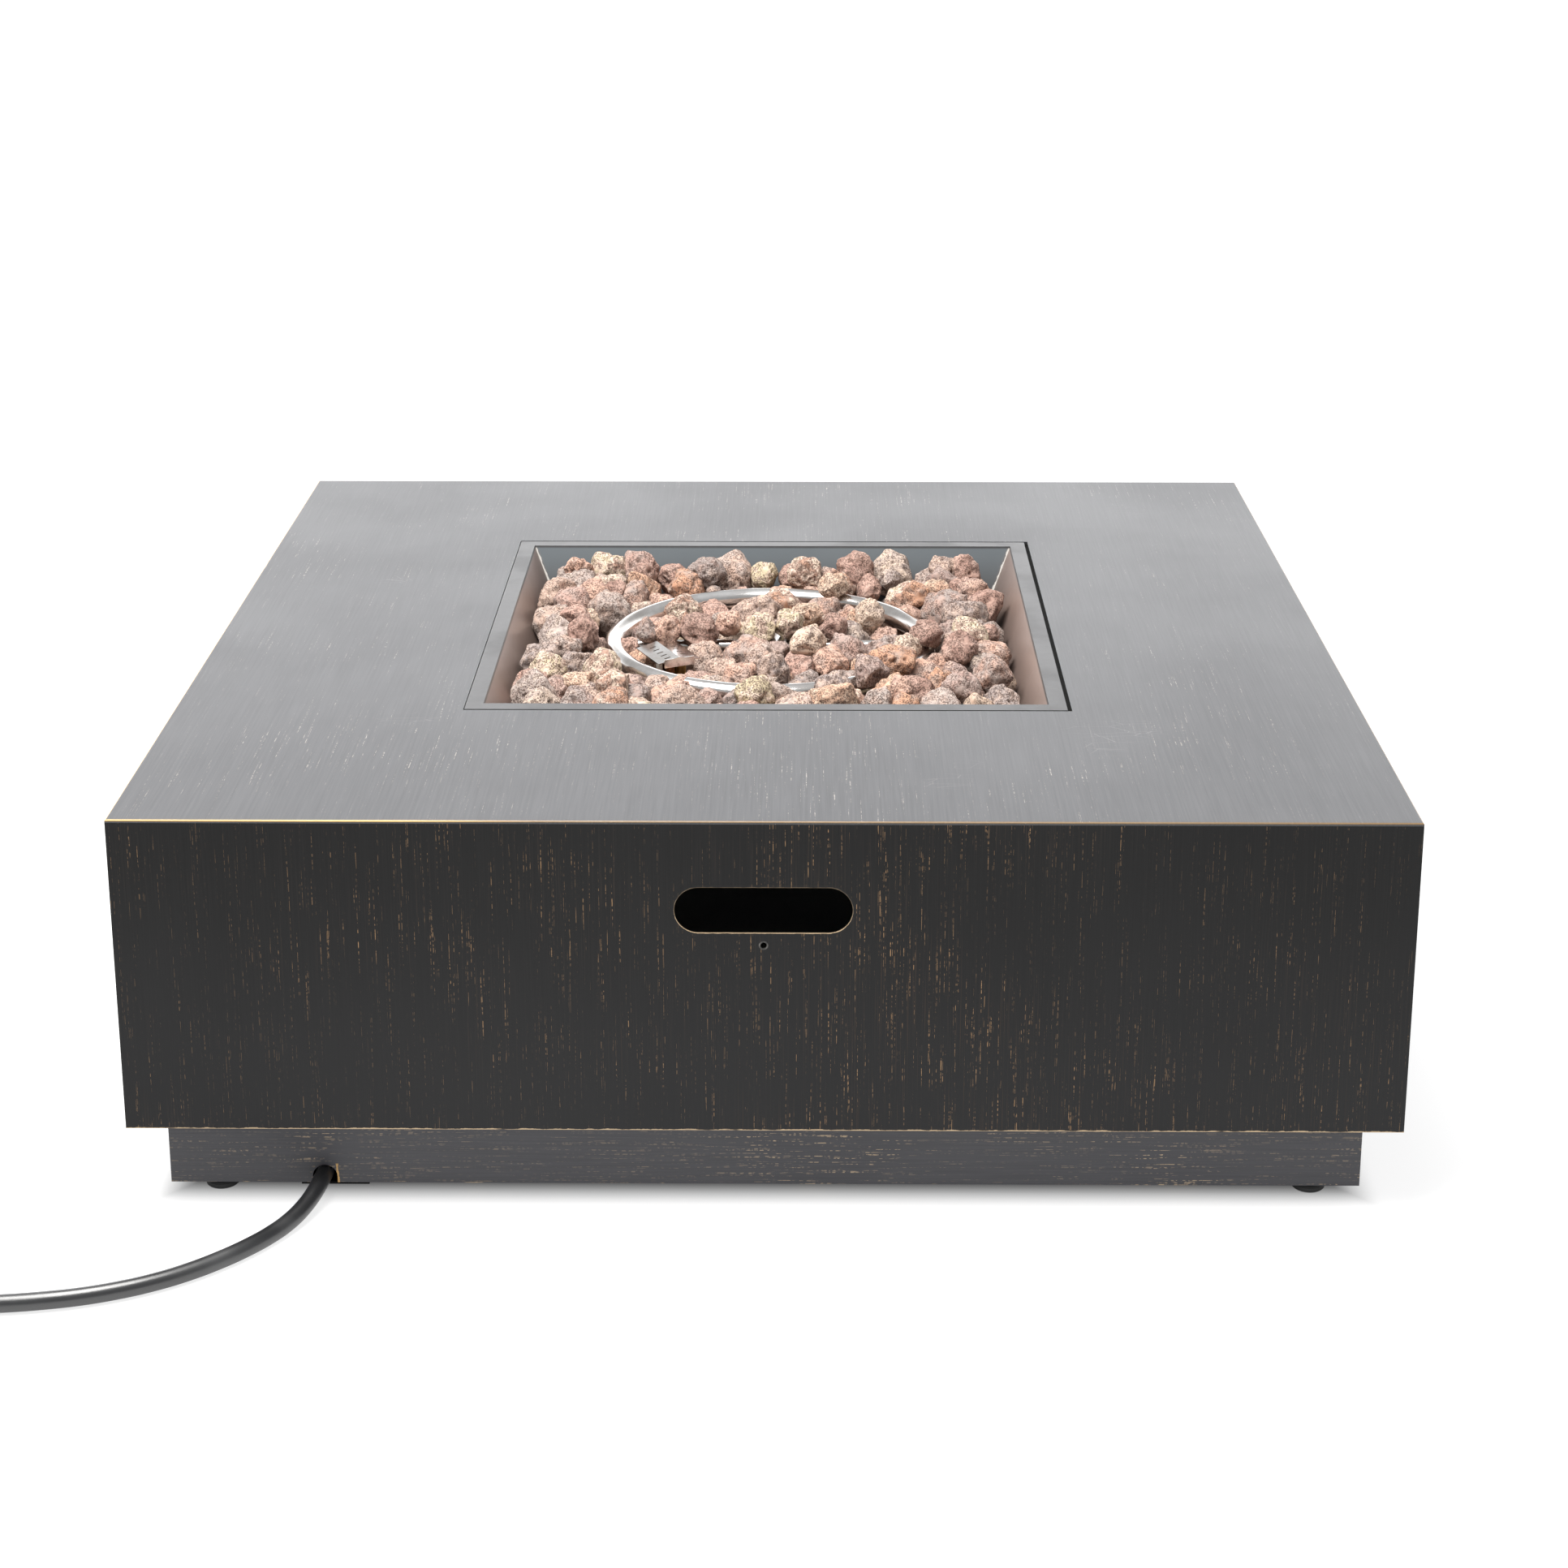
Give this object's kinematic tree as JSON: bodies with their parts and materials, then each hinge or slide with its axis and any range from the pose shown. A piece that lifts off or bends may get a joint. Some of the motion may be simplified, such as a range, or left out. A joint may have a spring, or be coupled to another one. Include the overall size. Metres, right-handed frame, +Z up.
{
  "type": "gas fire pit table",
  "caption": "Low square gas fire table: sheet casing on a recessed plinth, drop-in burner pan of lava rock, side controls, and a coiled gas hose with regulator.",
  "frame": {"origin": "middle of the casing in plan, on the floor, with the feet screwed right in and the free hose left out", "axes": "+Z up, -Y out of the front (the side with the hose notch), +X to the right seen from the front"},
  "size_m": [1.361, 1.18, 0.341],
  "materials": {
    "top_paint": "dark bronze paint with a fine brushed streak, satin, pale in the sky light",
    "side_paint": "near-black brown paint with fine upright copper streaks and rubbed gold edges",
    "plinth_paint": "dark grey-brown paint with level, broken gold streaks",
    "dark_frame": "dark primer",
    "pan_paint": "bronze paint, satin",
    "galvanised": "galvanised sheet",
    "zinc": "zinc plate",
    "stainless": "bright stainless, a little heat-tinted",
    "brass": "machined brass",
    "aluminium": "bare aluminium and stainless tube",
    "ceramic": "glazed ceramic",
    "copper": "copper",
    "black_steel": "black powder coat",
    "black_plastic": "moulded black plastic",
    "red_plastic": "moulded red plastic",
    "wire_sleeve": "silicone sleeve",
    "foot_rubber": "black rubber",
    "hose_rubber": "smooth black rubber, slight sheen",
    "regulator_metal": "grey die-cast zinc",
    "lava_rock": "porous lava rock in tan, mauve, grey and cream"
  },
  "bodies": {
    "table": {"top_panel": "top_paint", "front_panel": "side_paint", "back_panel": "side_paint", "left_panel": "side_paint", "right_panel": "side_paint", "corner_posts": "dark_frame", "top_edge_angles": "dark_frame", "rivet_nut": "zinc", "plinth_front": "plinth_paint", "plinth_back": "plinth_paint", "plinth_left": "plinth_paint", "plinth_right": "plinth_paint", "foot_plates": "dark_frame", "casing_bolts": "zinc", "pan_rail_front": "dark_frame", "pan_rail_back": "dark_frame", "pan_rail_left": "dark_frame", "pan_rail_right": "dark_frame", "burner_pan": "pan_paint", "heat_shield": "galvanised", "heat_shield_hangers": "zinc", "burner_ring": "stainless", "burner_hub": "stainless", "burner_nipple": "brass", "locknuts": "brass", "air_mixer": "aluminium", "orifice": "brass", "pilot_hood": "stainless", "pilot_bracket": "stainless", "pilot_burner": "brass", "igniter_electrode": "ceramic", "thermocouple": "copper", "control_box": "black_steel", "gas_valve": "brass", "igniter_body": "black_plastic", "ignition_wire": "wire_sleeve", "thermocouple_lead": "copper", "pilot_tube": "aluminium", "inlet_pipe": "black_steel", "inlet_union": "brass", "hose_bracket": "dark_frame", "hose_ferrule": "zinc", "flex_connector": "aluminium", "gas_hose": "hose_rubber", "hose_coil": "hose_rubber", "hose_tie": "black_plastic", "gas_hose_tail": "hose_rubber", "regulator": "regulator_metal", "lava_rocks_bed": "lava_rock", "lava_rocks_outer": "lava_rock", "lava_rocks_inner": "lava_rock"},
    "valve_plug": {"valve_plug": "brass"},
    "control_knob": {"control_knob": "black_plastic", "valve_stem": "aluminium"},
    "igniter_button": {"igniter_button": "red_plastic"},
    "coupling_nut": {"coupling_nut": "black_plastic"},
    "foot_front_left": {"foot_front_left": "foot_rubber"},
    "foot_front_right": {"foot_front_right": "foot_rubber"},
    "foot_back_left": {"foot_back_left": "foot_rubber"},
    "foot_back_right": {"foot_back_right": "foot_rubber"}
  },
  "joints": [
    {"name": "knob_turn", "type": "hinge", "parent": "table", "child": "valve_plug", "pos_m": [-0.458, -0.158, 0.19], "axis": [-1, 0, 0], "range_deg": [0, 210]},
    {"name": "knob_push", "type": "slide", "parent": "valve_plug", "child": "control_knob", "axis": [1, 0, 0], "range_m": [0, 0.003], "stiffness_N_per_m": 800},
    {"name": "igniter_push", "type": "slide", "parent": "table", "child": "igniter_button", "axis": [1, 0, 0], "range_m": [0, 0.0025], "stiffness_N_per_m": 600},
    {"name": "coupling_turn", "type": "hinge", "parent": "table", "child": "coupling_nut", "pos_m": [-0.821, -0.33, 0.017], "axis": [0, 1, 0], "continuous": true},
    {"name": "foot_front_left_screw", "type": "slide", "parent": "table", "child": "foot_front_left", "axis": [0, 0, -1], "range_m": [0, 0.012]},
    {"name": "foot_front_right_screw", "type": "slide", "parent": "table", "child": "foot_front_right", "axis": [0, 0, -1], "range_m": [0, 0.012]},
    {"name": "foot_back_left_screw", "type": "slide", "parent": "table", "child": "foot_back_left", "axis": [0, 0, -1], "range_m": [0, 0.012]},
    {"name": "foot_back_right_screw", "type": "slide", "parent": "table", "child": "foot_back_right", "axis": [0, 0, -1], "range_m": [0, 0.012]}
  ]
}
